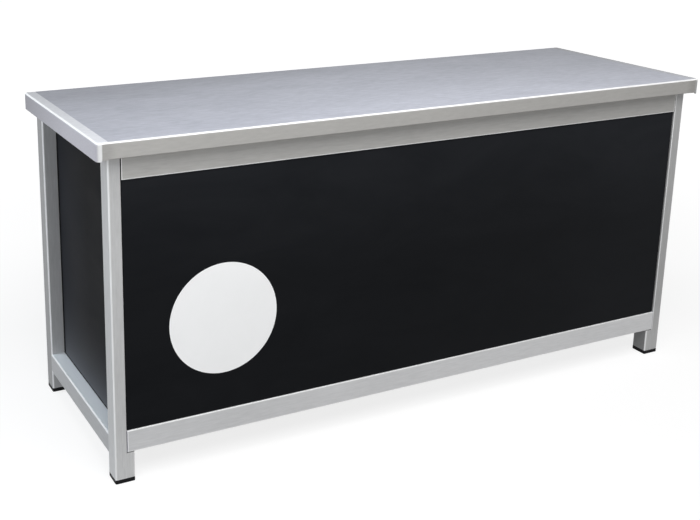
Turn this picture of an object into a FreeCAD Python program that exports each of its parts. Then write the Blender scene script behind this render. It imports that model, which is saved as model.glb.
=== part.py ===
import FreeCAD, Part
import math
import os

os.makedirs("parts", exist_ok=True)
V = FreeCAD.Vector

# Folding buffet counter, in millimetres. +X runs along the counter, guests stand on the -Y side,
# +Z is up, and the origin lies on the floor under the middle of the top.

# Overall
top_length = 1800.0
top_depth = 600.0
counter_height = 850.0

# Where the frame stands under the top
end_overhang = 30.0
front_overhang = 21.0
rear_overhang = 2.0

# Table top: a folded metal skin on a board with battens, and a cap on each end
edge_height = 40.0
edge_round = 6.0
skin_thickness = 1.5
skin_lip = 12.0
skin_lip_round = 2.0
board_thickness = 22.0
board_gap = 1.0
board_round = 5.0
end_cap_width = 28.0
end_cap_wall = 3.0
end_cap_corner = 10.0
end_cap_lip = 3.5
end_cap_lip_run = 2.0
end_cap_lip_round = 3.0
end_cap_overlap = 8.0
batten_width = 40.0
batten_setback = 14.0
batten_screw_count = 5
batten_screw_inset = 10.0
peg_radius = 5.0
peg_reach = 20.0
peg_point = 3.0
peg_clearance = 0.5
peg_spacing = 1240.0
top_seat_gap = 0.3

# Side frames: square tube posts with two rails and a panel held in grooves
leg_size = 50.0
tube_wall = 3.0
tube_round = 4.0
cope_tip = 0.12
side_lower_rail_z = 61.0
side_lower_rail_height = 53.0
side_upper_rail_height = 25.0
side_panel_thickness = 10.0
side_groove_lip = 2.8
side_groove_depth = 8.0
side_lip_round = 1.2
groove_clearance = 0.2
groove_bottom_gap = 0.5
post_cap_thickness = 3.0
plug_clearance = 0.3
post_cap_plug = 12.0

# Feet: plastic caps with a ribbed plug
foot_height = 11.0
foot_round = 4.0
foot_edge_round = 1.0
foot_plug_length = 28.0
foot_rib_count = 3
foot_rib_height = 2.0
foot_rib_stand = 0.25
foot_plug_step = 1.2

# Front frame: two rails, a panel and two stiles, let into a rebate in the front posts
front_rail_height = 56.0
front_rail_round = 1.8
front_frame_depth = 20.0
front_wall = 2.5
front_lower_rail_z = 79.0
front_panel_thickness = 8.0
front_panel_setback = 4.0
front_groove_depth = 10.0
front_panel_end_gap = 3.0
rebate_width = 20.0
rebate_edge_round = 1.2
rebate_back_gap = 1.0
rebate_ledge_gap = 2.0
rail_end_gap = 2.5
rail_cap_thickness = 1.5
rail_cap_plug = 15.0

# Hinges between the front frame and the side frames
hinge_length = 80.0
hinge_knuckles = 5
knuckle_gap = 0.3
hinge_barrel_radius = 4.5
hinge_pin_radius = 2.5
hinge_pin_play = 0.05
hinge_pin_head = 1.5
hinge_barrel_gap = 0.5
hinge_leaf_thickness = 2.5
frame_leaf_width = 35.0
post_leaf_width = 18.0
stile_margin = 3.0
hinge_end_distance = 90.0
screw_radius = 2.0
screw_head_radius = 3.8
screw_head_depth = 1.9
screw_hole_play = 0.05
screw_length = 7.0
screw_end_distance = 12.0
frame_screw_near = 13.0
frame_screw_far = 26.0
post_screw_offset = 9.5

# Derived planes
half_top = top_length / 2
top_front_y = -top_depth / 2
top_rear_y = top_depth / 2
seat_z = counter_height - edge_height
frame_x = half_top - end_overhang
frame_front_y = top_front_y + front_overhang
frame_rear_y = top_rear_y - rear_overhang
side_top_z = seat_z - top_seat_gap
post_top_z = side_top_z - post_cap_thickness
inner_x = frame_x - leg_size
front_post_rear_y = frame_front_y + leg_size
rear_post_front_y = frame_rear_y - leg_size

front_rear_plane_y = frame_front_y + front_frame_depth
rebate_x = frame_x - (leg_size - rebate_width)
rebate_depth = front_frame_depth + rebate_back_gap
ledge_z = front_lower_rail_z - rebate_ledge_gap
front_lower_top_z = front_lower_rail_z + front_rail_height
front_upper_rail_z = seat_z - front_rail_height
rail_half = rebate_x - rail_end_gap
front_panel_half = rebate_x - front_panel_end_gap
front_groove_near = front_panel_setback - groove_clearance
front_groove_far = front_panel_setback + front_panel_thickness + groove_clearance
stile_y = frame_front_y + front_groove_far

side_lower_top_z = side_lower_rail_z + side_lower_rail_height
side_upper_rail_z = side_top_z - side_upper_rail_height
side_groove_far = leg_size - side_groove_lip
side_groove_near = side_groove_far - side_panel_thickness - 2 * groove_clearance
side_groove_z = side_lower_top_z - side_groove_depth

hinge_x = inner_x - hinge_barrel_radius - hinge_barrel_gap
hinge_y = front_rear_plane_y + hinge_barrel_radius + hinge_barrel_gap
stile_x = hinge_x - frame_leaf_width - stile_margin
hinge_low_z = front_lower_top_z + hinge_end_distance
hinge_high_z = front_upper_rail_z - hinge_end_distance - hinge_length
screw_rows = [screw_end_distance, hinge_length / 2, hinge_length - screw_end_distance]
even_knuckles = range(0, hinge_knuckles, 2)
odd_knuckles = range(1, hinge_knuckles, 2)

board_top_z = counter_height - skin_thickness
board_bottom_z = board_top_z - board_thickness
board_half_x = half_top - end_cap_width + end_cap_overlap
board_half_y = top_depth / 2 - skin_thickness - board_gap
skin_half = half_top - end_cap_width
tolerance = 1e-3


# Sections are closed outlines of (u, v, corner radius), swept along one axis.
def on_plane(axis, u, v, along):
    if axis == "x":
        return V(along, u, v)
    if axis == "y":
        return V(u, along, v)
    return V(u, v, along)


def outline(points, axis, along):
    corners = []
    count = len(points)
    for i, (u, v, radius) in enumerate(points):
        here = on_plane(axis, u, v, along)
        if radius <= 0:
            corners.append((here, here, None))
            continue
        before = on_plane(axis, *points[i - 1][:2], along) - here
        after = on_plane(axis, *points[(i + 1) % count][:2], along) - here
        before.normalize()
        after.normalize()
        half = before.getAngle(after) / 2
        middle = before + after
        middle.normalize()
        reach = radius / math.tan(half)
        centre_distance = radius / math.sin(half)
        crown = here + middle * (centre_distance - radius)
        corners.append((here + before * reach, here + after * reach, crown))
    edges = []
    for i, (start, end, crown) in enumerate(corners):
        if crown is not None:
            edges.append(Part.Arc(start, crown, end).toShape())
        following = corners[(i + 1) % count][0]
        if end.distanceToPoint(following) > tolerance:
            edges.append(Part.LineSegment(end, following).toShape())
    return Part.Wire(edges)


def prism(points, axis, start, end):
    face = Part.Face(outline(points, axis, start))
    return face.extrude(on_plane(axis, 0, 0, end) - on_plane(axis, 0, 0, start))


def rectangle(u0, v0, u1, v1, radius=0.0):
    return [(u0, v0, radius), (u1, v0, radius), (u1, v1, radius), (u0, v1, radius)]


def block(x0, y0, z0, x1, y1, z1):
    return Part.makeBox(x1 - x0, y1 - y0, z1 - z0, V(x0, y0, z0))


def rod(radius, start, end):
    along = end - start
    return Part.makeCylinder(radius, along.Length, start, along)


def mirrored(shape):
    return shape.mirror(V(0, 0, 0), V(1, 0, 0))


def save(name, shapes):
    group = shapes if isinstance(shapes, list) else [shapes]
    solids = []
    for shape in group:
        solids.extend(shape.removeSplitter().Solids)
    result = solids[0] if len(solids) == 1 else Part.makeCompound(solids)
    result.exportStep("parts/" + name + ".step")


# The right half is built and mirrored: depth counts from a post's outer face towards the middle.
def from_outer(points):
    return [(frame_x - depth, v, radius) for depth, v, radius in points]


def leg_section(y0, z0, z1):
    return prism(from_outer(rectangle(0, y0, leg_size, y0 + leg_size, tube_round)), "z", z0, z1)


def rebate(z0, z1):
    return block(inner_x, frame_front_y, z0, rebate_x, frame_front_y + rebate_depth, z1)


def front_post():
    y0 = frame_front_y
    wall = tube_wall
    near = y0 + wall
    far = y0 + leg_size - wall
    behind_rebate = y0 + rebate_depth + wall
    before_groove = y0 + leg_size - side_groove_depth - wall
    strip = leg_size - rebate_width - wall
    before_panel = side_groove_near - wall
    across = leg_size - wall
    body = leg_section(y0, foot_height, post_top_z).cut(rebate(ledge_z, post_top_z))
    corner = block(rebate_x - tolerance, y0 - tolerance, ledge_z - tolerance,
                   rebate_x + tolerance, y0 + tolerance, post_top_z + tolerance)
    rebate_edge = [edge for edge in body.Edges if corner.BoundBox.isInside(edge.BoundBox)]
    body = body.makeFillet(rebate_edge_round, rebate_edge)
    lower = from_outer(rectangle(wall, near, across, far))
    upper = from_outer([(wall, near, 0), (strip, near, 0), (strip, behind_rebate, 0),
                        (across, behind_rebate, 0), (across, before_groove, 0),
                        (before_panel, before_groove, 0), (before_panel, far, 0), (wall, far, 0)])
    groove = from_outer(rectangle(side_groove_near, y0 + leg_size - side_groove_depth,
                                  side_groove_far, y0 + leg_size))
    body = body.cut(prism(lower, "z", foot_height, min(ledge_z, side_groove_z) - wall))
    body = body.cut(prism(upper, "z", foot_height, post_top_z))
    body = body.cut(prism(groove, "z", side_groove_z, post_top_z))
    for centre in post_screw_points():
        body = body.cut(rod(screw_radius + screw_hole_play, centre, centre + V(screw_length, 0, 0)))
    return body


def rear_post():
    y0 = rear_post_front_y
    wall = tube_wall
    near = y0 + wall
    far = y0 + leg_size - wall
    after_groove = y0 + side_groove_depth + wall
    before_panel = side_groove_near - wall
    across = leg_size - wall
    lower = from_outer(rectangle(wall, near, across, far))
    upper = from_outer([(wall, near, 0), (before_panel, near, 0), (before_panel, after_groove, 0),
                        (across, after_groove, 0), (across, far, 0), (wall, far, 0)])
    groove = from_outer(rectangle(side_groove_near, y0, side_groove_far, y0 + side_groove_depth))
    body = leg_section(y0, foot_height, post_top_z)
    body = body.cut(prism(lower, "z", foot_height, side_groove_z - wall))
    body = body.cut(prism(upper, "z", foot_height, post_top_z))
    return body.cut(prism(groove, "z", side_groove_z, post_top_z))


# A side rail's groove faces up on the lower rail and down on the upper one. Its ends are coped to the
# rounded edges of the posts, down to a thin tip, so that the welded faces run through.
def side_rail(z0, height, groove_up):
    def level(rise):
        return z0 + rise if groove_up else z0 + height - rise
    wall = tube_wall
    section = [(0, level(0), tube_round), (leg_size, level(0), tube_round),
               (leg_size, level(height), side_lip_round), (side_groove_far, level(height), 0),
               (side_groove_far, level(height - side_groove_depth), 0),
               (side_groove_near, level(height - side_groove_depth), 0),
               (side_groove_near, level(height), 0), (0, level(height), tube_round)]
    under_groove = height - side_groove_depth - wall
    hollow = [(wall, level(wall), 0), (leg_size - wall, level(wall), 0),
              (leg_size - wall, level(under_groove), 0), (side_groove_near - wall, level(under_groove), 0),
              (side_groove_near - wall, level(height - wall), 0), (wall, level(height - wall), 0)]
    short = math.sqrt(tube_round ** 2 - (tube_round - cope_tip) ** 2)
    ends = (front_post_rear_y - tube_round + short, rear_post_front_y + tube_round - short)
    rail = prism(from_outer(section), "y", *ends).cut(prism(from_outer(hollow), "y", *ends))
    for y0 in (frame_front_y, rear_post_front_y):
        rail = rail.cut(leg_section(y0, 0, counter_height))
    return rail


def side_panel():
    into_groove = side_groove_depth - groove_bottom_gap
    near = frame_x - side_groove_near - groove_clearance
    far = frame_x - side_groove_far + groove_clearance
    return block(far, front_post_rear_y - into_groove, side_lower_top_z - into_groove,
                 near, rear_post_front_y + into_groove, side_upper_rail_z + into_groove)


# Post caps close the tube tops under the table top.
def post_cap(rear):
    y0 = rear_post_front_y if rear else frame_front_y
    cap = leg_section(y0, post_top_z, side_top_z)
    if not rear:
        cap = cap.cut(rebate(post_top_z, side_top_z))
    inset = tube_wall + plug_clearance
    plug_end = leg_size - rebate_width - inset
    plug = from_outer(rectangle(inset, y0 + inset, plug_end, y0 + leg_size - inset))
    return cap.fuse(prism(plug, "z", post_top_z - post_cap_plug, post_top_z))


# A foot is a rounded pad with a hollow plug whose ribs grip the tube.
def foot(rear):
    y0 = rear_post_front_y if rear else frame_front_y
    pad = prism(from_outer(rectangle(0, y0, leg_size, y0 + leg_size, foot_round)), "z", 0, foot_height)
    floor_edges = [edge for edge in pad.Edges if edge.BoundBox.ZMax < foot_height / 2]
    pad = pad.makeFillet(foot_edge_round, floor_edges)

    def ring(inset, z0, z1):
        around = rectangle(inset, y0 + inset, leg_size - inset, y0 + leg_size - inset)
        return prism(from_outer(around), "z", z0, z1)
    plug_inset = tube_wall + foot_plug_step
    plug_top = foot_height + foot_plug_length
    plug = ring(plug_inset, foot_height, plug_top)
    pitch = foot_plug_length / (foot_rib_count + 1)
    for i in range(foot_rib_count):
        rib_z = foot_height + (i + 1) * pitch
        plug = plug.fuse(ring(tube_wall + foot_rib_stand, rib_z, rib_z + foot_rib_height))
    hollow = ring(plug_inset + tube_wall, foot_height, plug_top)
    return pad.fuse(plug.cut(hollow))


# A front rail's groove faces the panel: up on the lower rail, down on the upper one.
def front_rail(z0, groove_up):
    def level(rise):
        return z0 + rise if groove_up else z0 + front_rail_height - rise
    y0 = frame_front_y
    rise = front_rail_height
    groove_floor = rise - front_groove_depth
    section = [(y0, level(0), front_rail_round), (y0 + front_frame_depth, level(0), front_rail_round),
               (y0 + front_frame_depth, level(rise), 0), (y0 + front_groove_far, level(rise), 0),
               (y0 + front_groove_far, level(groove_floor), 0),
               (y0 + front_groove_near, level(groove_floor), 0),
               (y0 + front_groove_near, level(rise), 0), (y0, level(rise), front_rail_round)]
    rail = prism(section, "x", -rail_half, rail_half)
    return rail.cut(prism(rail_hollow(level, 0), "x", -rail_half, rail_half))


def rail_hollow(level, inset):
    wall = front_wall + inset
    y0 = frame_front_y
    return rectangle(y0 + wall, level(wall), y0 + front_frame_depth - wall,
                     level(front_rail_height - front_groove_depth - wall))


def front_upper_rail():
    rail = front_rail(front_upper_rail_z, False)
    for x, y in peg_places():
        rail = rail.cut(rod(peg_radius + peg_clearance, V(x, y, seat_z - 2 * front_wall), V(x, y, seat_z)))
    return rail


# End caps cover the sawn rail ends, with a plug in the rail's chamber.
def rail_end_cap(z0, groove_up):
    def level(rise):
        return z0 + rise if groove_up else z0 + front_rail_height - rise
    y0 = frame_front_y
    plate = rectangle(y0, z0, y0 + front_frame_depth, z0 + front_rail_height, front_rail_round)
    cap = prism(plate, "x", rail_half, rail_half + rail_cap_thickness)
    return cap.fuse(prism(rail_hollow(level, plug_clearance), "x", rail_half - rail_cap_plug, rail_half))


def front_panel():
    into_groove = front_groove_depth - groove_bottom_gap
    y0 = frame_front_y + front_panel_setback
    return block(-front_panel_half, y0, front_lower_top_z - into_groove,
                 front_panel_half, y0 + front_panel_thickness, front_upper_rail_z + into_groove)


def front_stile():
    stile = block(stile_x, stile_y, front_lower_top_z,
                  front_panel_half, front_rear_plane_y, front_upper_rail_z)
    for centre in frame_screw_points():
        stile = stile.cut(rod(screw_radius + screw_hole_play, centre, centre - V(0, screw_length, 0)))
    return stile


# Screw places on the leaves: the point where each shank enters the stile or the post.
def frame_screw_points():
    points = []
    for base in (hinge_low_z, hinge_high_z):
        for row, rise in enumerate(screw_rows):
            reach = frame_screw_far if row == 1 else frame_screw_near
            points.append(V(hinge_x - reach, front_rear_plane_y, base + rise))
    return points


def post_screw_points():
    points = []
    for base in (hinge_low_z, hinge_high_z):
        for rise in screw_rows:
            points.append(V(inner_x, hinge_y + post_screw_offset, base + rise))
    return points


# A countersunk screw: the cone fills the leaf, the shank runs on into what carries the leaf.
def screw(point, inward, play=0.0):
    outward = inward * -1
    head_top = point + outward * hinge_leaf_thickness
    head = Part.makeCone(screw_head_radius + play, screw_radius + play, screw_head_depth, head_top, inward)
    shank = rod(screw_radius + play, head_top, point + inward * (screw_length - 2 * screw_hole_play))
    return head.fuse(shank)


# Knuckles in the given places along the barrel; room grows them into the clearance round them.
def knuckles(base, places, room=0.0):
    pitch = hinge_length / hinge_knuckles
    pieces = []
    for place in places:
        low = V(hinge_x, hinge_y, base + place * pitch + knuckle_gap / 2 - room)
        high = V(hinge_x, hinge_y, base + (place + 1) * pitch - knuckle_gap / 2 + room)
        pieces.append(rod(hinge_barrel_radius + room, low, high))
    return pieces


def hinge_leaf(base, plate, own, other, screws, inward):
    leaf = plate
    for piece in knuckles(base, own):
        leaf = leaf.fuse(piece)
    for piece in knuckles(base, other, knuckle_gap):
        leaf = leaf.cut(piece)
    bore = rod(hinge_pin_radius + hinge_pin_play, V(hinge_x, hinge_y, base - hinge_length),
               V(hinge_x, hinge_y, base + 2 * hinge_length))
    leaf = leaf.cut(bore)
    for point in screws:
        leaf = leaf.cut(screw(point, inward, screw_hole_play))
    return leaf


def frame_leaf(base):
    plate = block(hinge_x - frame_leaf_width, front_rear_plane_y, base,
                  hinge_x, front_rear_plane_y + hinge_leaf_thickness, base + hinge_length)
    screws = [point for point in frame_screw_points() if base < point.z < base + hinge_length]
    return hinge_leaf(base, plate, even_knuckles, odd_knuckles, screws, V(0, -1, 0))


def post_leaf(base):
    plate = block(inner_x - hinge_leaf_thickness, hinge_y, base,
                  inner_x, hinge_y + post_leaf_width, base + hinge_length)
    screws = [point for point in post_screw_points() if base < point.z < base + hinge_length]
    return hinge_leaf(base, plate, odd_knuckles, even_knuckles, screws, V(1, 0, 0))


def hinge_pin(base):
    low = V(hinge_x, hinge_y, base)
    high = V(hinge_x, hinge_y, base + hinge_length)
    pin = rod(hinge_pin_radius, low, high)
    for end, outward in ((low, -1), (high, 1)):
        head_end = end + V(0, 0, outward * hinge_pin_head)
        pin = pin.fuse(rod(hinge_barrel_radius, end, head_end))
    return pin


# The skin is one sheet: top, both long edges folded down, and a lip turned in under each.
def top_skin():
    t = skin_thickness
    inner_round = edge_round - t
    section = [(top_front_y + skin_lip, seat_z, 0), (top_front_y, seat_z, skin_lip_round),
               (top_front_y, counter_height, edge_round), (top_rear_y, counter_height, edge_round),
               (top_rear_y, seat_z, skin_lip_round), (top_rear_y - skin_lip, seat_z, 0),
               (top_rear_y - skin_lip, seat_z + t, 0), (top_rear_y - t, seat_z + t, skin_lip_round - t),
               (top_rear_y - t, counter_height - t, inner_round),
               (top_front_y + t, counter_height - t, inner_round),
               (top_front_y + t, seat_z + t, skin_lip_round - t), (top_front_y + skin_lip, seat_z + t, 0)]
    return prism(section, "x", -skin_half, skin_half)


def top_board():
    section = [(-board_half_y, board_bottom_z, 0), (board_half_y, board_bottom_z, 0),
               (board_half_y, board_top_z, board_round), (-board_half_y, board_top_z, board_round)]
    board = prism(section, "x", -board_half_x, board_half_x)
    for point in batten_screw_points():
        board = board.cut(batten_screw(point, screw_hole_play))
    return board


# An end cap is an open shell with rounded corners; its outer wall hangs a little lower than the long edges.
def end_cap():
    x0 = half_top - end_cap_width
    plan = [(x0, top_front_y, 0), (half_top, top_front_y, end_cap_corner),
            (half_top, top_rear_y, end_cap_corner), (x0, top_rear_y, 0)]
    cap = prism(plan, "z", seat_z, counter_height)
    crown = [edge for edge in cap.Edges
             if edge.BoundBox.ZMin > counter_height - tolerance and edge.BoundBox.XMax > x0 + tolerance]
    cap = cap.makeFillet(edge_round, crown)
    wall_x = half_top - end_cap_wall
    inner_corner = end_cap_corner - end_cap_wall
    pocket_front = top_front_y + skin_thickness
    pocket_rear = top_rear_y - skin_thickness
    pocket_plan = [(x0, pocket_front, 0), (wall_x, pocket_front, inner_corner),
                   (wall_x, pocket_rear, inner_corner), (x0, pocket_rear, 0)]
    pocket = prism(pocket_plan, "z", seat_z, board_top_z)
    pocket_crown = [edge for edge in pocket.Edges
                    if edge.BoundBox.ZMin > board_top_z - tolerance and edge.BoundBox.XMax > x0 + tolerance]
    cap = cap.cut(pocket.makeFillet(edge_round - skin_thickness, pocket_crown))
    lip_z = seat_z - end_cap_lip
    lip_x = half_top - end_cap_corner - end_cap_lip_run
    lip_plan = [(lip_x, top_front_y, 0), (half_top, top_front_y, end_cap_corner),
                (half_top, top_rear_y, end_cap_corner), (lip_x, top_rear_y, 0)]
    room_front = top_front_y + end_cap_wall
    room_rear = top_rear_y - end_cap_wall
    room_plan = [(lip_x, room_front, 0), (wall_x, room_front, inner_corner),
                 (wall_x, room_rear, inner_corner), (lip_x, room_rear, 0)]
    lip = prism(lip_plan, "z", lip_z, seat_z).cut(prism(room_plan, "z", lip_z, seat_z))
    rise = [(lip_x, lip_z, end_cap_lip_round), (half_top, lip_z, 0), (half_top, seat_z, 0), (lip_x, seat_z, 0)]
    return cap.fuse(lip.common(prism(rise, "y", top_front_y, top_rear_y)))


def long_batten(rear):
    y0 = top_rear_y - batten_setback - batten_width if rear else top_front_y + batten_setback
    batten = block(-skin_half, y0, seat_z, skin_half, y0 + batten_width, board_bottom_z)
    if not rear:
        for x, y in peg_places():
            hole = rod(peg_radius + screw_hole_play, V(x, y, seat_z), V(x, y, board_bottom_z))
            batten = batten.cut(hole)
    for point in batten_screw_points():
        batten = batten.cut(batten_screw(point, screw_hole_play))
    return batten


def cross_batten():
    return block(board_half_x - batten_width, top_front_y + batten_setback + batten_width, seat_z,
                 board_half_x, top_rear_y - batten_setback - batten_width, board_bottom_z)


def peg_places():
    return [(side * peg_spacing / 2, frame_front_y + front_frame_depth / 2) for side in (-1, 1)]


def locating_peg(x, y):
    peg = rod(peg_radius, V(x, y, seat_z - peg_reach + peg_point), V(x, y, board_bottom_z))
    point = Part.makeCone(peg_radius - peg_point, peg_radius, peg_point, V(x, y, seat_z - peg_reach))
    return peg.fuse(point)


# Wood screws from below hold the long battens to the board, heads sunk a little.
def batten_screw_points():
    pitch = 2 * skin_half / batten_screw_count
    points = []
    front_y = top_front_y + batten_setback + batten_width - batten_screw_inset
    rear_y = top_rear_y - batten_setback - batten_width + batten_screw_inset
    for y in (front_y, rear_y):
        for i in range(batten_screw_count):
            points.append(V((i - (batten_screw_count - 1) / 2) * pitch, y, seat_z))
    return points


def batten_screw(point, play=0.0):
    head_base = point + V(0, 0, top_seat_gap)
    tip = V(point.x, point.y, board_bottom_z + board_thickness / 2)
    head = Part.makeCone(screw_head_radius + play, screw_radius + play,
                         screw_head_depth, head_base, V(0, 0, 1))
    body = head.fuse(rod(screw_radius + play, head_base, tip))
    if play:
        body = body.fuse(rod(screw_head_radius + play, point, head_base))
    return body


# Front frame
save("front_upper_rail", front_upper_rail())
save("front_lower_rail", front_rail(front_lower_rail_z, True))
save("front_panel", front_panel())
right_caps = [rail_end_cap(front_lower_rail_z, True), rail_end_cap(front_upper_rail_z, False)]
save("front_rail_end_caps", right_caps + [mirrored(cap) for cap in right_caps])

# Table top
save("top_skin", top_skin())
save("top_board", top_board())
save("top_front_batten", long_batten(False))
save("top_rear_batten", long_batten(True))
save("top_locating_pegs", [locating_peg(x, y) for x, y in peg_places()])
save("top_batten_screws", [batten_screw(point) for point in batten_screw_points()])

# Pieces that come as a right one and its mirror image
hinge_bases = (hinge_low_z, hinge_high_z)
handed = {
    "{}_front_post": [front_post()],
    "{}_rear_post": [rear_post()],
    "{}_lower_rail": [side_rail(side_lower_rail_z, side_lower_rail_height, True)],
    "{}_upper_rail": [side_rail(side_upper_rail_z, side_upper_rail_height, False)],
    "{}_side_panel": [side_panel()],
    "{}_front_foot": [foot(False)],
    "{}_rear_foot": [foot(True)],
    "{}_post_caps": [post_cap(False), post_cap(True)],
    "{}_post_leaves": [post_leaf(base) for base in hinge_bases],
    "{}_post_leaf_screws": [screw(point, V(1, 0, 0)) for point in post_screw_points()],
    "{}_frame_leaves": [frame_leaf(base) for base in hinge_bases],
    "{}_frame_leaf_screws": [screw(point, V(0, -1, 0)) for point in frame_screw_points()],
    "{}_hinge_pins": [hinge_pin(base) for base in hinge_bases],
    "front_{}_stile": [front_stile()],
    "top_{}_end_cap": [end_cap()],
    "top_{}_batten": [cross_batten()],
}
for pattern, shapes in handed.items():
    save(pattern.format("right"), shapes)
    save(pattern.format("left"), [mirrored(shape) for shape in shapes])
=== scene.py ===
import math

import bmesh
import bpy
from mathutils import Matrix, Vector


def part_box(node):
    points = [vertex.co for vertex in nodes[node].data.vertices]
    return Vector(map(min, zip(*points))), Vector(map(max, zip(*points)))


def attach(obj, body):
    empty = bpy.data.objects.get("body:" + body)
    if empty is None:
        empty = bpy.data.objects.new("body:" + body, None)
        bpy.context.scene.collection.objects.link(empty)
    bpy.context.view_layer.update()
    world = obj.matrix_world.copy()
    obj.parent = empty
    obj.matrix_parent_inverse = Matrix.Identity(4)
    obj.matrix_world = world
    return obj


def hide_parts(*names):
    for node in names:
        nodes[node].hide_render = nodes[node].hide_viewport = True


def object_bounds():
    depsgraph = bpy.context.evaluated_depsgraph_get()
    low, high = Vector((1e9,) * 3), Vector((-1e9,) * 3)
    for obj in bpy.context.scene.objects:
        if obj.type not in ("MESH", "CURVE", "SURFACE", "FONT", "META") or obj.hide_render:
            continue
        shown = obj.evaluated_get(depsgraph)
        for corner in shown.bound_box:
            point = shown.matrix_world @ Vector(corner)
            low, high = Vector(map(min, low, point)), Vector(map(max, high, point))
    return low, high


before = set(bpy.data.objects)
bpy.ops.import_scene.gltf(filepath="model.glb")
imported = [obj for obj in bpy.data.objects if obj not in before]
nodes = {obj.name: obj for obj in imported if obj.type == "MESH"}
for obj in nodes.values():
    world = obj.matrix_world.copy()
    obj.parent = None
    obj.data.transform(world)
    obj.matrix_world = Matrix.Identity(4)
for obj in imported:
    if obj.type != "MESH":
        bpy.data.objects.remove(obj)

scene = bpy.context.scene
cadLow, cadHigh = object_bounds()
print("frame loaded:", len(nodes), "nodes")

# Camera: place and lens come from the counter's edges in the photograph, 700 x 520 px
photo = dict(width=700, height=520)
cameraSettings = dict(
    place=(-1.6188, -2.5221, 1.4451),
    forward=(0.42695, 0.86735, -0.25576),
    right=(0.89797, -0.44001, 0.00682),
    focalPx=1103.3,
    axisPx=(251.8, 152.0),          # where the lens axis meets the picture
    sensor=36.0,
    clip=(0.05, 60.0),
)


def makeCamera(s):
    data = bpy.data.cameras.new("camera")
    data.sensor_width = s["sensor"]
    data.lens = s["focalPx"] / photo["width"] * s["sensor"]
    data.shift_x = (photo["width"] / 2 - s["axisPx"][0]) / photo["width"]
    data.shift_y = (s["axisPx"][1] - photo["height"] / 2) / photo["width"]
    data.clip_start, data.clip_end = s["clip"]
    camera = bpy.data.objects.new("camera", data)
    back = -Vector(s["forward"]).normalized()
    right = Vector(s["right"])
    right = (right - right.dot(back) * back).normalized()
    up = back.cross(right)
    turn = Matrix((right, up, back)).transposed().to_4x4()
    camera.matrix_world = Matrix.Translation(s["place"]) @ turn
    scene.collection.objects.link(camera)
    scene.camera = camera


makeCamera(cameraSettings)
print("camera placed")


# Material helpers
def startMaterial(name):
    material = bpy.data.materials.new(name)
    material.use_nodes = True
    tree = material.node_tree
    tree.nodes.clear()
    shader = tree.nodes.new("ShaderNodeBsdfPrincipled")
    output = tree.nodes.new("ShaderNodeOutputMaterial")
    tree.links.new(shader.outputs["BSDF"], output.inputs["Surface"])
    return material, tree, shader


def addNode(tree, kind, **inputs):
    node = tree.nodes.new(kind)
    for key, value in inputs.items():
        node.inputs[key].default_value = value
    return node


# Noise that can be drawn out along an axis: a low scale gives a long streak
def pattern(tree, scale, detail=4.0, rough=0.55, distortion=0.0):
    coords = tree.nodes.new("ShaderNodeTexCoord")
    mapping = addNode(tree, "ShaderNodeMapping", Scale=scale)
    noise = addNode(tree, "ShaderNodeTexNoise", Scale=1.0, Detail=detail, Roughness=rough,
                    Distortion=distortion)
    tree.links.new(coords.outputs["Object"], mapping.inputs["Vector"])
    tree.links.new(mapping.outputs["Vector"], noise.inputs["Vector"])
    return noise.outputs["Fac"]


# Maps a range of values, by default the middle of a noise, onto low to high
def spread(tree, value, low, high, fromLow=0.3, fromHigh=0.7):
    limits = {"From Min": fromLow, "From Max": fromHigh, "To Min": low, "To Max": high}
    node = addNode(tree, "ShaderNodeMapRange", **limits)
    tree.links.new(value, node.inputs["Value"])
    return node.outputs["Result"]


def average(tree, a, b, share):
    node = tree.nodes.new("ShaderNodeMix")          # 0 is the share, 2 and 3 the values
    node.inputs[0].default_value = share
    tree.links.new(a, node.inputs[2])
    tree.links.new(b, node.inputs[3])
    return node.outputs[0]


def blend(tree, share, below, above):
    node = tree.nodes.new("ShaderNodeMix")          # 0 is the share, 6 and 7 the colours
    node.data_type = "RGBA"
    for socket, part in ((0, share), (6, below), (7, above)):
        if isinstance(part, tuple):
            node.inputs[socket].default_value = (*part, 1.0)
        else:
            tree.links.new(part, node.inputs[socket])
    return node.outputs[2]


def calculate(tree, operation, a, b=None):
    node = tree.nodes.new("ShaderNodeMath")
    node.operation = operation
    for socket, part in enumerate((a, b)):
        if isinstance(part, float):
            node.inputs[socket].default_value = part
        elif part is not None:
            tree.links.new(part, node.inputs[socket])
    return node.outputs[0]


def multiply(tree, a, b):
    return calculate(tree, "MULTIPLY", a, b)


def along(tree, axis):
    coords = tree.nodes.new("ShaderNodeTexCoord")
    split = tree.nodes.new("ShaderNodeSeparateXYZ")
    tree.links.new(coords.outputs["Object"], split.inputs[0])
    return split.outputs[axis]


def addBump(tree, shader, height, depth, strength):
    bump = addNode(tree, "ShaderNodeBump", Strength=strength, Distance=depth)
    tree.links.new(height, bump.inputs["Height"])
    tree.links.new(bump.outputs["Normal"], shader.inputs["Normal"])


# A slow change of tone along a piece, used for painted light and shade
def faded(tree, color, s):
    place = along(tree, s["axis"])
    if "lean" in s:               # the change also runs along the table
        place = calculate(tree, "ADD", place, multiply(tree, along(tree, "X"), s["lean"]))
    if s.get("mirrored"):         # the same on both sides of the middle
        place = calculate(tree, "ABSOLUTE", place)
    share = spread(tree, place, s["low"], s["high"], s["start"], s["end"])
    node = tree.nodes.new("ShaderNodeVectorMath")
    node.operation = "SCALE"
    tree.links.new(color, node.inputs[0])
    tree.links.new(share, node.inputs["Scale"])
    return node.outputs[0]


# The section of a bar, read from its CAD node; X counts from the middle, so both sides match
def barEdge(nodeName, axes, **more):
    low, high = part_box(nodeName)
    picks = ["XYZ".index(axis) for axis in axes]
    centre = [(low[i] + high[i]) / 2 for i in picks]
    centre = [abs(c) if axis == "X" else c for axis, c in zip(axes, centre)]
    half = [(high[i] - low[i]) / 2 for i in picks]
    return dict(axes=axes, centre=centre, half=half, **more)


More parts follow.
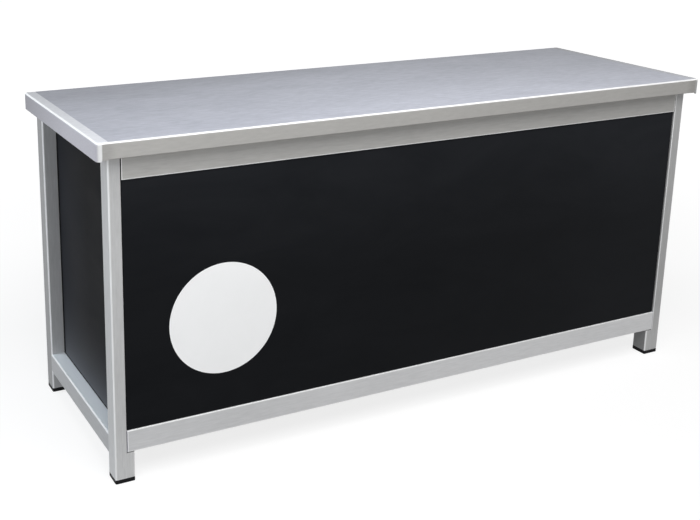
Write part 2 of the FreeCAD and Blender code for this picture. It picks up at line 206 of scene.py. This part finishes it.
edgeHighlightSettings = dict(core=0.62, scale=(9.0, 9.0, 9.0), detail=3.0, least=0.75, step=0.001)


# Painted highlight: 0 on the flat faces of a bar, 1 along its rounded edges
def edgeHighlight(tree, s):
    r = edgeHighlightSettings
    total = 0.0
    for axis, centre, half in zip(s["axes"], s["centre"], s["half"]):
        place = along(tree, axis)
        if axis == "X":
            place = calculate(tree, "ABSOLUTE", place)
        away = calculate(tree, "ABSOLUTE", calculate(tree, "SUBTRACT", place, centre))
        total = calculate(tree, "ADD", calculate(tree, "SUBTRACT", away, half), total)
    share = spread(tree, total, 0.0, 1.0, -s["radius"] * s["reach"], -s["radius"] * r["core"])
    if "above" in s:
        level = spread(tree, along(tree, "Z"), 0.0, 1.0, s["above"], s["above"] + r["step"])
        share = multiply(tree, share, level)
    uneven = spread(tree, pattern(tree, r["scale"], detail=r["detail"]), r["least"], 1.0)
    return multiply(tree, share, uneven)


# Brushed metal: long streaks along one axis, faint clouds, and painted highlights along the rounded edges
def brushedMetal(name, s):
    material, tree, shader = startMaterial(name)
    streaks = pattern(tree, s["streaks"], detail=6.0, rough=0.6)
    clouds = pattern(tree, s["clouds"], detail=3.0, rough=0.5, distortion=0.4)
    mixed = average(tree, streaks, clouds, s["cloudShare"])
    if "marks" in s:              # short brush marks, coarse enough to show at arm's length
        mixed = average(tree, mixed, pattern(tree, s["marks"], detail=3.0, rough=0.6), s["markShare"])
    grain = spread(tree, mixed, 0.0, 1.0)
    color = blend(tree, grain, s["dark"], s["light"])
    for fade in s.get("fades", []):
        color = faded(tree, color, fade)
    if "endDark" in s:            # the end face of a cap, with its painted light and shade, and a painted line down each of its corners: a highlight on the left cap, shade on the right
        endFace = faded(tree, blend(tree, grain, s["endDark"], s["endLight"]), s["endFade"])
        across = calculate(tree, "ABSOLUTE", along(tree, "Y"))
        color = blend(tree, spread(tree, across, 0.0, 1.0, *s["endCorner"]), endFace, color)
        out = calculate(tree, "ABSOLUTE", along(tree, "X"))
        line = multiply(tree, spread(tree, out, 0.0, 1.0, *s["lineStart"]),
                        spread(tree, out, 1.0, 0.0, *s["lineStop"]))
        atCorner = spread(tree, across, 0.0, 1.0, *s["lineDepth"])
        color = blend(tree, multiply(tree, line, atCorner), color, s["lineColor"])
    if "foldStart" in s:          # a folded sheet: a painted highlight round the fold, with its own colour on the flat top
        flat = blend(tree, grain, s["flatDark"], s["flatLight"])
        for fade in s.get("flatFades", []):
            flat = faded(tree, flat, fade)
        fold = spread(tree, along(tree, "Z"), 0.0, 1.0, *s["foldStart"])
        level = spread(tree, along(tree, "Z"), 0.0, 1.0, *s["flatStart"])
        color = blend(tree, level, blend(tree, fold, color, s["highlightColor"]), flat)
    if "litTopStart" in s:          # painted light: an upper face lighter and bluer, as lit from above
        litTop = spread(tree, along(tree, "Z"), 0.0, 1.0, *s["litTopStart"])
        color = blend(tree, litTop, color, s["litTop"])
    # painted highlights along the rounded edges
    for edge in s.get("edges", []):
        color = blend(tree, edgeHighlight(tree, edge), color, s["highlightColor"])
    tree.links.new(color, shader.inputs["Base Color"])
    tree.links.new(spread(tree, streaks, *s["roughness"]), shader.inputs["Roughness"])
    shader.inputs["Metallic"].default_value = s["metallic"]
    shader.inputs["Specular IOR Level"].default_value = s["specular"]
    addBump(tree, shader, streaks, s["depth"], s["bump"])
    return material


# Places that the finishes follow
halfLength, halfDepth, topZ = cadHigh
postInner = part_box("right_front_post")[0].x
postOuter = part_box("right_front_post")[1].x
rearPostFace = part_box("left_rear_post")[0].y
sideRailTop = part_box("left_lower_rail")[1].z
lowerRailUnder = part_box("front_lower_rail")[0].z
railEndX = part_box("front_upper_rail")[1].x
tubeRound, railRound, rebateRound = 0.004, 0.0018, 0.0012
railGap, ledgeGap = 0.0025, 0.002          # round the front frame, in its rebate

# Square tube of the posts
frameMetal = dict(
    dark=(0.425, 0.425, 0.425), light=(0.565, 0.565, 0.565), highlightColor=(0.88, 0.88, 0.88),
    metallic=0.12, specular=0.25, roughness=(0.27, 0.38), depth=0.0002, bump=0.2,
    clouds=(6.0, 6.0, 6.0), cloudShare=0.35, markShare=0.45,
)
upright = dict(streaks=(900.0, 900.0, 6.0), marks=(190.0, 190.0, 24.0))
lengthwise = dict(streaks=(6.0, 900.0, 900.0), marks=(24.0, 190.0, 190.0))
sideways = dict(streaks=(900.0, 6.0, 900.0), marks=(190.0, 24.0, 190.0))
# Masks for the painted edge highlights
frontPostEdge = barEdge("left_front_post", "XY", radius=tubeRound, reach=1.08)
rebateX = railEndX + railGap
# painted highlight along the edge of the rebate, above the ledge
rebateEdge = dict(
    frontPostEdge, centre=((rebateX + postOuter) / 2, frontPostEdge["centre"][1]),
    half=((postOuter - rebateX) / 2, frontPostEdge["half"][1]),
    radius=rebateRound, reach=2.8, above=lowerRailUnder - ledgeGap,
)
frontPostMetal = brushedMetal("frontPostAluminium", dict(
    frameMetal, **upright, edges=[frontPostEdge],
    # painted shade near the top, under the table top, and painted light on the foot below the rail
    fades=[dict(axis="Z", start=0.60, end=0.76, low=1.0, high=0.87),
           dict(axis="Z", start=0.03, end=0.14, low=1.12, high=1.0)],
))
# Painted shade on the inner face of the right front leg, under the table
innerShade = dict(axis="X", start=postInner + 0.0003, end=postInner + 0.0035, low=0.42, high=1.0)
# A darker copy of the post aluminium as painted shade, with painted light on the foot below the rail
rightPostMetal = brushedMetal("rightPostAluminium", dict(
    frameMetal, dark=(0.355, 0.355, 0.355), light=(0.475, 0.475, 0.475), **upright,
    edges=[frontPostEdge, rebateEdge],
    fades=[dict(axis="Z", start=0.06, end=0.16, low=1.2, high=1.0), innerShade],
))
# Painted shade on the outer faces of the rear posts
outerShade = dict(
    axis="X", start=postOuter - 0.002, end=postOuter - 0.0002, low=1.0, high=0.48, mirrored=True,
)
# A darker copy of the post aluminium as painted shade, with brighter painted highlights along its edges
rearPostMetal = brushedMetal("rearPostAluminium", dict(
    frameMetal, dark=(0.385, 0.387, 0.394), light=(0.510, 0.512, 0.519), highlightColor=(0.95, 0.95, 0.96),
    **upright,
    edges=[barEdge("left_rear_post", "XY", radius=tubeRound, reach=1.12)], fades=[outerShade],
))
stileMetal = brushedMetal("stileAluminium", dict(frameMetal, **upright))

# Rails of the front and of the end frames
# painted highlights at the rail ends and along the rails' rounded edges
railEnd = barEdge("front_upper_rail", "XY", radius=railRound, reach=1.3)
# A darker copy of the frame aluminium: painted shade under the table top
upperRailMetal = brushedMetal("upperRailAluminium", dict(
    frameMetal, dark=(0.332, 0.326, 0.314), light=(0.441, 0.434, 0.421), **lengthwise,
    edges=[barEdge("front_upper_rail", "YZ", radius=railRound, reach=2.0), railEnd],
))
# A lighter copy of the frame aluminium, painted lighter still towards the right: painted light
lowerRailMetal = brushedMetal("lowerRailAluminium", dict(
    frameMetal, dark=(0.498, 0.498, 0.504), light=(0.632, 0.632, 0.638), **lengthwise,
    edges=[barEdge("front_lower_rail", "YZ", radius=railRound, reach=2.0), railEnd],
    fades=[dict(axis="X", start=-halfLength, end=halfLength, low=1.0, high=1.27)],
))
upperSideMetal = brushedMetal("upperSideAluminium", dict(frameMetal, **sideways))
# A darker copy of the frame aluminium as painted shade, with painted highlights along its edges
sideRailMetal = brushedMetal("sideRailAluminium", dict(
    frameMetal, dark=(0.320, 0.323, 0.333), light=(0.426, 0.429, 0.439), highlightColor=(0.96, 0.97, 0.98),
    **sideways,
    edges=[barEdge("left_lower_rail", "XZ", radius=tubeRound, reach=1.15)],
    # its upper face painted lighter and bluer, as lit from above
    litTop=(0.91, 0.96, 1.0), litTopStart=(sideRailTop - 0.0011, sideRailTop - 0.0005),
))

# Table top and the bands on its ends
foldedEdge = dict(
    dark=(0.372, 0.363, 0.348), light=(0.442, 0.433, 0.416), highlightColor=(0.90, 0.90, 0.90),
    # painted shade on the front edge near each end of the table
    fades=[dict(axis="X", start=halfLength - 0.046, end=halfLength - 0.026, low=1.0, high=0.865,
                mirrored=True)],
    foldStart=(topZ - 0.0044, topZ - 0.0032), flatStart=(topZ - 0.0007, topZ - 0.0001),
    metallic=0.1, specular=0.05, roughness=(0.28, 0.40), depth=0.0002, bump=0.2,
)
endBand = dict(
    foldedEdge, flatDark=(0.43, 0.44, 0.47), flatLight=(0.66, 0.67, 0.70), highlightColor=(0.97, 0.97, 0.97),
    endDark=(0.463, 0.450, 0.489), endLight=(0.620, 0.602, 0.650),
    endCorner=(halfDepth - 0.0035, halfDepth - 0.0005),
    # painted light and shade on the end face: lighter towards the front, darker towards the rear
    endFade=dict(axis="Y", start=-0.12, end=0.28, low=0.995, high=0.585),
    # a painted highlight line down each corner
    lineStart=(halfLength - 0.0138, halfLength - 0.0115), lineStop=(halfLength - 0.0045, halfLength - 0.0015),
    lineDepth=(halfDepth - 0.0085, halfDepth - 0.006), lineColor=(0.72, 0.72, 0.72),
    # painted light on the band: lighter at the front, darker at the rear
    flatFades=[dict(axis="Y", start=-0.28, end=0.28, low=1.30, high=0.92)],
    streaks=(14.0, 700.0, 700.0), clouds=(8.0, 8.0, 8.0), cloudShare=0.25,
    marks=(60.0, 220.0, 220.0), markShare=0.5,
)
leftBandMetal = brushedMetal("leftBandAluminium", endBand)
# A darker copy of the band as painted shade on the right end, with a darker painted line down its corners
rightBandMetal = brushedMetal("rightBandAluminium", dict(
    endBand, flatDark=(0.258, 0.266, 0.293), flatLight=(0.382, 0.390, 0.417), lineColor=(0.42, 0.42, 0.42),
))
topMetal = brushedMetal("topBrushedSteel", dict(
    foldedEdge, flatDark=(0.312, 0.326, 0.381), flatLight=(0.498, 0.513, 0.581),
    streaks=(8.0, 620.0, 620.0), clouds=(5.0, 11.0, 5.0), cloudShare=0.42,
    marks=(34.0, 150.0, 150.0), markShare=0.5,
    # painted light and shade on the flat top: lighter at the front and in the middle, darker towards the rear
    # and most at the rear left
    flatFades=[dict(axis="Y", start=-0.28, end=0.28, low=1.07, high=0.80),
               dict(axis="Y", lean=-0.2, start=0.19, end=0.36, low=1.0, high=0.855),
               dict(axis="X", start=0.15, end=0.85, low=1.06, high=0.95, mirrored=True)],
))
hingeMetal = brushedMetal("hingeZinc", dict(
    dark=(0.42, 0.42, 0.43), light=(0.56, 0.56, 0.56), metallic=0.8, specular=0.5, roughness=(0.3, 0.45),
    streaks=(260.0, 260.0, 40.0), clouds=(60.0, 60.0, 60.0), cloudShare=0.6, depth=0.0001, bump=0.2,
))


# Satin black laminate with a very fine grain and faint handling marks
def satinLaminate(name, s):
    material, tree, shader = startMaterial(name)
    grain = pattern(tree, s["grain"], detail=3.0, rough=0.6)
    marks = pattern(tree, s["marks"], detail=5.0, rough=0.65, distortion=0.6)
    color = blend(tree, spread(tree, marks, 0.0, 1.0), s["dark"], s["light"])
    for fade in s.get("fades", []):
        color = faded(tree, color, fade)
    if "sheen" in s:              # painted reflection of the bright rail below, in the lower part of the panel
        sheen = s["sheen"]
        low = spread(tree, along(tree, "Z"), 1.0, 0.0, *sheen["heights"])
        share = multiply(tree, multiply(tree, low, low), low)
        patchy = spread(tree, marks, sheen["least"], 1.0)
        color = blend(tree, multiply(tree, share, patchy), color, sheen["color"])
    if "groove" in s:             # the dark line where the panel runs into the frame
        groove = s["groove"]
        low = spread(tree, along(tree, "Z"), 1.0, 0.0, *groove["heights"])
        rear = spread(tree, along(tree, "Y"), 0.0, 1.0, *groove["rear"])
        color = blend(tree, calculate(tree, "MAXIMUM", low, rear), color, groove["color"])
    tree.links.new(color, shader.inputs["Base Color"])
    tree.links.new(spread(tree, marks, *s["roughness"]), shader.inputs["Roughness"])
    shader.inputs["Specular IOR Level"].default_value = s["specular"]
    addBump(tree, shader, grain, s["depth"], s["bump"])
    return material


blackLaminate = dict(
    roughness=(0.42, 0.56), grain=(900.0, 900.0, 900.0), marks=(3.0, 3.0, 7.0), depth=0.0001, bump=0.15,
)
panelBlack = satinLaminate("panelBlack", dict(
    blackLaminate, dark=(0.0046, 0.0051, 0.0062), light=(0.0075, 0.0080, 0.0093), specular=0.045,
    # painted light: lighter towards the top and towards the right
    fades=[dict(axis="Z", start=0.45, end=0.76, low=1.0, high=1.9),
           dict(axis="X", start=0.3, end=0.7, low=1.0, high=1.3)],
))
sidePanelBlack = satinLaminate("sidePanelBlack", dict(
    blackLaminate, dark=(0.0080, 0.0084, 0.0098), light=(0.0115, 0.0120, 0.0137), specular=0.0126,
    # painted light and shade: lighter towards the rear, darker towards the top under the table top
    fades=[dict(axis="Y", start=0.0, end=0.2, low=0.9, high=2.75),
           dict(axis="Z", start=0.25, end=0.5, low=1.0, high=0.9),
           dict(axis="Z", start=0.55, end=0.76, low=1.0, high=0.65)],
    # painted reflection of the rail below
    sheen=dict(color=(0.124, 0.128, 0.140), heights=(sideRailTop, sideRailTop + 0.26), least=0.8),
    groove=dict(color=(0.003, 0.003, 0.0035), heights=(sideRailTop + 0.003, sideRailTop + 0.0055),
                rear=(rearPostFace - 0.016, rearPostFace - 0.010)),
))
mouldedBlack = dict(
    dark=(0.007, 0.007, 0.008), light=(0.012, 0.012, 0.013), roughness=(0.45, 0.65), specular=0.06,
    grain=(1400.0, 1400.0, 1400.0), marks=(30.0, 30.0, 30.0), depth=0.0002, bump=0.35,
)
plasticBlack = satinLaminate("plasticBlack", mouldedBlack)
paintedLightLow = dict(axis="Z", start=0.14, end=0.7, low=45.0, high=1.0)       # painted light: paler towards the floor, lifting the shade in the lower joints
jointPlastic = satinLaminate("jointPlastic", dict(mouldedBlack, fades=[paintedLightLow]))
labelWhite = satinLaminate("labelVinyl", dict(
    dark=(0.955, 0.955, 0.955), light=(0.985, 0.985, 0.985), roughness=(0.35, 0.45), specular=0.4,
    grain=(500.0, 500.0, 500.0), marks=(9.0, 9.0, 9.0), depth=0.00005, bump=0.1,
))


# Birch plywood: streaky faces, and layers across the thickness
def birchPly(name, s):
    material, tree, shader = startMaterial(name)
    grain = pattern(tree, s["grain"], detail=7.0, rough=0.62, distortion=0.5)
    broad = pattern(tree, s["broad"], detail=3.0, rough=0.5, distortion=0.8)
    mixed = average(tree, grain, broad, s["broadShare"])
    face = blend(tree, spread(tree, mixed, 0.0, 1.0), s["dark"], s["light"])
    turns = multiply(tree, along(tree, "Z"), math.pi / s["layer"])
    layers = spread(tree, calculate(tree, "SINE", turns), 0.0, 1.0, -s["layerSoft"], s["layerSoft"])
    edge = blend(tree, layers, s["layerDark"], face)
    split = tree.nodes.new("ShaderNodeSeparateXYZ")
    tree.links.new(tree.nodes.new("ShaderNodeNewGeometry").outputs["Normal"], split.inputs[0])
    flatness = calculate(tree, "ABSOLUTE", split.outputs["Z"])
    level = spread(tree, flatness, 0.0, 1.0, *s["edgeToFace"])
    tree.links.new(blend(tree, level, edge, face), shader.inputs["Base Color"])
    tree.links.new(spread(tree, grain, *s["roughness"]), shader.inputs["Roughness"])
    addBump(tree, shader, grain, s["depth"], s["bump"])
    return material


boardWood = birchPly("boardBirch", dict(
    dark=(0.36, 0.24, 0.14), light=(0.58, 0.43, 0.28), roughness=(0.45, 0.65),
    grain=(4.0, 120.0, 400.0), broad=(1.2, 14.0, 14.0), broadShare=0.45, depth=0.0004, bump=0.3,
    layer=0.0014, layerSoft=0.25, layerDark=(0.27, 0.165, 0.09), edgeToFace=(0.4, 0.6),
))
print("materials made")

# Which finish each CAD node takes: the first word that its name holds
finishByWord = [
    ("screws", hingeMetal), ("leaves", hingeMetal), ("pins", hingeMetal), ("pegs", hingeMetal),
    ("top_skin", topMetal), ("rail_end_caps", jointPlastic),
    ("top_left_end_cap", leftBandMetal), ("top_right_end_cap", rightBandMetal),
    ("board", boardWood), ("batten", boardWood), ("side_panel", sidePanelBlack), ("panel", panelBlack),
    ("foot", plasticBlack), ("post_caps", plasticBlack),
    ("front_upper_rail", upperRailMetal), ("front_lower_rail", lowerRailMetal),
    ("upper_rail", upperSideMetal), ("lower_rail", sideRailMetal),
    ("right_front_post", rightPostMetal), ("front_post", frontPostMetal),
    ("rear_post", rearPostMetal), ("stile", stileMetal),
]


def finishFor(name):
    return next(material for word, material in finishByWord if word in name)


for name, piece in nodes.items():
    piece.data.materials.clear()
    piece.data.materials.append(finishFor(name))
print("CAD nodes finished")

# Blank round label on the front panel
labelSettings = dict(
    radius=0.1423, thickness=0.0006, fromLeft=0.2531, aboveFloor=0.3754,
    rimRound=0.00018, rimSteps=2, rimAngle=1.0, sides=160,
)


def makeLabel(s):
    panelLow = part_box("front_panel")[0]
    mesh = bpy.data.meshes.new("blank_label")
    disc = bmesh.new()
    place = Vector((panelLow.x + s["fromLeft"], panelLow.y - s["thickness"] / 2, s["aboveFloor"]))
    turn = Matrix.Translation(place) @ Matrix.Rotation(math.pi / 2, 4, "X")
    bmesh.ops.create_cone(disc, cap_ends=True, segments=s["sides"], radius1=s["radius"],
                          radius2=s["radius"], depth=s["thickness"], matrix=turn)
    rim = [e for e in disc.edges if len(e.link_faces) == 2 and e.calc_face_angle() > s["rimAngle"]]
    bmesh.ops.bevel(disc, geom=rim, offset=s["rimRound"], segments=s["rimSteps"], affect="EDGES")
    bmesh.ops.recalc_face_normals(disc, faces=disc.faces)
    disc.to_mesh(mesh)
    disc.free()
    label = bpy.data.objects.new("blank_label", mesh)
    scene.collection.objects.link(label)
    mesh.materials.append(labelWhite)
    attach(label, "front_frame")


makeLabel(labelSettings)
print("label placed")

# Countersunk screws with a cross recess: one tree makes a screw on each point of a cloud of places
screwSettings = dict(
    headRadius=0.0038, headDepth=0.0019, shankRadius=0.0020,
    recessWidth=0.0045, recessThickness=0.0009, recessDepth=0.0012,
    sides=36, seed=7,
)
hingeScrews = dict(
    bases=(0.225, 0.584), rises=(0.012, 0.040, 0.068),          # the two hinges, and the rows on each
    frameNear=0.802, frameFar=0.789, frameFace=-0.2565,
    postFace=0.8175, postLine=-0.2445, length=0.0094,
)
battenScrews = dict(line=0.256, pitch=0.3488, face=0.8103, count=5, length=0.0272)


def screwTree():
    tree = bpy.data.node_groups.new("countersunkScrews", "GeometryNodeTree")
    link = tree.links.new

    def addInput(kind, *names):
        for name in names:
            tree.interface.new_socket(name, in_out="INPUT", socket_type=kind)

    addInput("NodeSocketGeometry", "Places")
    addInput("NodeSocketFloat", "Head Radius", "Head Depth", "Shank Radius", "Length",
             "Recess Width", "Recess Thickness", "Recess Depth")
    addInput("NodeSocketInt", "Sides", "Seed")
    addInput("NodeSocketVector", "Facing")
    addInput("NodeSocketMaterial", "Finish")
    tree.interface.new_socket("Screws", in_out="OUTPUT", socket_type="NodeSocketGeometry")
    given = tree.nodes.new("NodeGroupInput").outputs
    result = tree.nodes.new("NodeGroupOutput")

    def vector(x=None, y=None, z=None):
        node = tree.nodes.new("ShaderNodeCombineXYZ")
        for socket, part in zip(node.inputs, (x, y, z)):
            if part is not None:
                link(part, socket)
        return node.outputs[0]

    def raised(geometry, height):
        node = tree.nodes.new("GeometryNodeTransform")
        link(geometry, node.inputs["Geometry"])
        link(vector(z=height), node.inputs["Translation"])
        return node.outputs["Geometry"]

    def boolean(operation, first, others):
        node = tree.nodes.new("GeometryNodeMeshBoolean")
        node.operation = operation
        node.solver = "EXACT"
        if first is not None:
            link(first, node.inputs["Mesh 1"])
        for other in others:
            link(other, node.inputs["Mesh 2"])
        return node.outputs["Mesh"]

    # Head with its flat face at height 0, and the shank let into it
    head = tree.nodes.new("GeometryNodeMeshCone")
    link(given["Sides"], head.inputs["Vertices"])
    link(given["Head Radius"], head.inputs["Radius Top"])
    link(given["Shank Radius"], head.inputs["Radius Bottom"])
    link(given["Head Depth"], head.inputs["Depth"])
    sunk = raised(head.outputs["Mesh"], multiply(tree, given["Head Depth"], -1.0))
    headShare, shankFit = 0.8, 0.98          # the shank starts inside the head, and is a little thinner there
    buried = multiply(tree, given["Head Depth"], headShare)
    shankLength = calculate(tree, "SUBTRACT", given["Length"], buried)
    halfShank = multiply(tree, shankLength, 0.5)
    shank = tree.nodes.new("GeometryNodeMeshCylinder")
    link(given["Sides"], shank.inputs["Vertices"])
    link(multiply(tree, given["Shank Radius"], shankFit), shank.inputs["Radius"])
    link(shankLength, shank.inputs["Depth"])
    stem = raised(shank.outputs["Mesh"], calculate(tree, "SUBTRACT", halfShank, given["Length"]))
    bolt = boolean("UNION", None, [sunk, stem])

    # Cross recess: two bars centred on the face, so half of each bar's height cuts
    barHeight = multiply(tree, given["Recess Depth"], 2.0)
    arms = []
    for wide, narrow in (("Recess Width", "Recess Thickness"), ("Recess Thickness", "Recess Width")):
        arm = tree.nodes.new("GeometryNodeMeshCube")
        link(vector(given[wide], given[narrow], barHeight), arm.inputs["Size"])
        arms.append(arm.outputs["Mesh"])
    screw = boolean("DIFFERENCE", bolt, arms)

    # One screw on each place, facing outwards, each driven home at its own angle
    points = tree.nodes.new("GeometryNodeMeshToPoints")
    link(given["Places"], points.inputs["Mesh"])
    turned = tree.nodes.new("FunctionNodeAlignRotationToVector")
    link(given["Facing"], turned.inputs["Vector"])
    turned.axis = "Z"
    angle = tree.nodes.new("FunctionNodeRandomValue")
    angle.data_type = "FLOAT"
    lowest, highest = [socket for socket in angle.inputs if socket.type == "VALUE"][:2]
    lowest.default_value, highest.default_value = 0.0, math.pi / 2
    link(given["Seed"], angle.inputs["Seed"])
    drawn = next(socket for socket in angle.outputs if socket.type == "VALUE" and socket.enabled)
    spun = tree.nodes.new("FunctionNodeAxisAngleToRotation")
    spun.inputs["Axis"].default_value = (0.0, 0.0, 1.0)
    link(drawn, spun.inputs["Angle"])
    both = tree.nodes.new("FunctionNodeRotateRotation")
    both.rotation_space = "LOCAL"
    link(turned.outputs["Rotation"], both.inputs["Rotation"])
    link(spun.outputs["Rotation"], both.inputs["Rotate By"])
    placed = tree.nodes.new("GeometryNodeInstanceOnPoints")
    link(points.outputs["Points"], placed.inputs["Points"])
    link(screw, placed.inputs["Instance"])
    link(both.outputs["Rotation"], placed.inputs["Rotation"])
    real = tree.nodes.new("GeometryNodeRealizeInstances")
    link(placed.outputs["Instances"], real.inputs["Geometry"])
    painted = tree.nodes.new("GeometryNodeSetMaterial")
    link(real.outputs["Geometry"], painted.inputs["Geometry"])
    link(given["Finish"], painted.inputs["Material"])
    link(painted.outputs["Geometry"], result.inputs["Screws"])
    return tree


screwGroup = screwTree()


def makeScrews(name, places, facing, length, body, hidden):
    s = screwSettings
    cloud = bpy.data.meshes.new(name + "_places")
    cloud.from_pydata(places, [], [])
    maker = bpy.data.objects.new(name + "_maker", cloud)
    scene.collection.objects.link(maker)
    modifier = maker.modifiers.new("screws", "NODES")
    modifier.node_group = screwGroup
    values = {
        "Head Radius": s["headRadius"], "Head Depth": s["headDepth"], "Shank Radius": s["shankRadius"],
        "Length": length, "Recess Width": s["recessWidth"], "Recess Thickness": s["recessThickness"],
        "Recess Depth": s["recessDepth"], "Sides": s["sides"], "Seed": s["seed"],
        "Facing": facing, "Finish": hingeMetal,
    }
    for item in screwGroup.interface.items_tree:
        if item.in_out == "INPUT" and item.name in values:
            modifier[item.identifier] = values[item.name]
    bpy.context.view_layer.update()
    ready = maker.evaluated_get(bpy.context.evaluated_depsgraph_get())
    mesh = bpy.data.meshes.new_from_object(ready)
    mesh.name = name
    bpy.data.objects.remove(maker)
    screws = bpy.data.objects.new(name, mesh)
    scene.collection.objects.link(screws)
    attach(screws, body)
    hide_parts(*hidden)
    print("screws:", name, len(places), "places,", len(mesh.polygons), "faces")


# The middle screw of a hinge's frame leaf stands further from the pin than the other two
def placeHingeScrews(s):
    rows = [(place, base + rise) for base in s["bases"] for place, rise in enumerate(s["rises"])]
    framePlaces = [
        (side * (s["frameFar"] if place == 1 else s["frameNear"]), s["frameFace"], height)
        for side in (-1, 1) for place, height in rows
    ]
    makeScrews("frame_leaf_screws", framePlaces, (0.0, 1.0, 0.0), s["length"],
               "front_frame", ["left_frame_leaf_screws", "right_frame_leaf_screws"])
    for word, side in (("left", -1), ("right", 1)):
        postPlaces = [(side * s["postFace"], s["postLine"], height) for place, height in rows]
        makeScrews(word + "_leaf_screws", postPlaces, (float(-side), 0.0, 0.0), s["length"],
                   word + "_side", [word + "_post_leaf_screws"])


def placeBattenScrews(s):
    places = [
        ((i - s["count"] // 2) * s["pitch"], y, s["face"])
        for y in (-s["line"], s["line"]) for i in range(s["count"])
    ]
    makeScrews("batten_screws", places, (0.0, 0.0, -1.0), s["length"], "table_top", ["top_batten_screws"])


placeHingeScrews(hingeScrews)
placeBattenScrews(battenScrews)

# Stage: pale floor, white surroundings, soft lamps
floorSettings = dict(
    size=30.0, color=(0.28, 0.28, 0.28), roughness=0.9,
    nearLift=0.79, farLift=0.99, near=1.2, far=3.5,       # how bright it looks, by distance from the table
)
fillStrength = 0.13
lampSettings = [
    dict(name="frontHigh", place=(-0.2, -2.6, 4.1), aim=(-0.1, -0.1, 0.5), size=(3.2, 2.4), power=104.0),
    dict(name="overheadStrip", place=(0.0, -0.62, 1.6), aim=(0.0, -0.25, 0.85), size=(2.2, 0.3), power=6.0),
    dict(name="frontLow", place=(-0.8, -3.2, 0.7), aim=(-0.2, 0.0, 0.35), size=(1.8, 1.2), power=16.0),
    dict(name="leftMid", place=(-2.6, -1.8, 1.45), aim=(-0.85, -0.1, 0.5), size=(1.2, 1.6), power=16.5,
         color=(0.90, 0.95, 1.0)),
    dict(name="cornerStrip", place=(-3.4, -3.6, 1.1), aim=(-0.8, -0.2, 0.6), size=(0.5, 2.0), power=12.0),
    dict(name="leftBack", place=(-2.7, 1.0, 1.6), aim=(-0.85, 0.0, 0.15), size=(1.2, 1.2), power=28.0,
         color=(0.86, 0.93, 1.0)),
]


def seenDirectly(tree):
    path = tree.nodes.new("ShaderNodeLightPath").outputs
    mirrored = calculate(tree, "MAXIMUM", path["Is Camera Ray"], path["Is Glossy Ray"])
    return calculate(tree, "MAXIMUM", mirrored, path["Is Transmission Ray"])


def makeFloor(s):
    mesh = bpy.data.meshes.new("floor")
    half = s["size"] / 2
    corners = [(-half, -half, 0), (half, -half, 0), (half, half, 0), (-half, half, 0)]
    mesh.from_pydata(corners, [], [(0, 1, 2, 3)])
    floor = bpy.data.objects.new("floor", mesh)
    scene.collection.objects.link(floor)
    material, tree, shader = startMaterial("floorPale")
    shader.inputs["Base Color"].default_value = (*s["color"], 1.0)
    shader.inputs["Roughness"].default_value = s["roughness"]
    shader.inputs["Specular IOR Level"].default_value = 0.0
    shader.inputs["Emission Color"].default_value = (1.0, 1.0, 1.0, 1.0)
    distance = tree.nodes.new("ShaderNodeVectorMath")
    distance.operation = "LENGTH"
    coords = tree.nodes.new("ShaderNodeTexCoord")
    tree.links.new(coords.outputs["Object"], distance.inputs[0])
    lift = spread(tree, distance.outputs["Value"], s["nearLift"], s["farLift"], s["near"], s["far"])
    tree.links.new(multiply(tree, lift, seenDirectly(tree)), shader.inputs["Emission Strength"])
    mesh.materials.append(material)


def makeWorld(strength):
    world = bpy.data.worlds.new("studio")
    scene.world = world
    world.use_nodes = True
    tree = world.node_tree
    background = tree.nodes["Background"]
    background.inputs["Color"].default_value = (1.0, 1.0, 1.0, 1.0)
    shown = spread(tree, seenDirectly(tree), strength, 1.0, 0.0, 1.0)
    tree.links.new(shown, background.inputs["Strength"])


def addLamp(s):
    data = bpy.data.lights.new(s["name"], "AREA")
    data.shape = "RECTANGLE"
    data.size, data.size_y = s["size"]
    data.energy = s["power"]
    data.color = s.get("color", (1.0, 1.0, 1.0))
    lamp = bpy.data.objects.new(s["name"], data)
    lamp.visible_camera = False
    lamp.location = s["place"]
    lamp.rotation_mode = "QUATERNION"
    lamp.rotation_quaternion = (Vector(s["aim"]) - Vector(s["place"])).to_track_quat("-Z", "Y")
    scene.collection.objects.link(lamp)


makeFloor(floorSettings)
makeWorld(fillStrength)
for lampSetting in lampSettings:
    addLamp(lampSetting)
scene.view_settings.view_transform = "Standard"
print("stage lit")
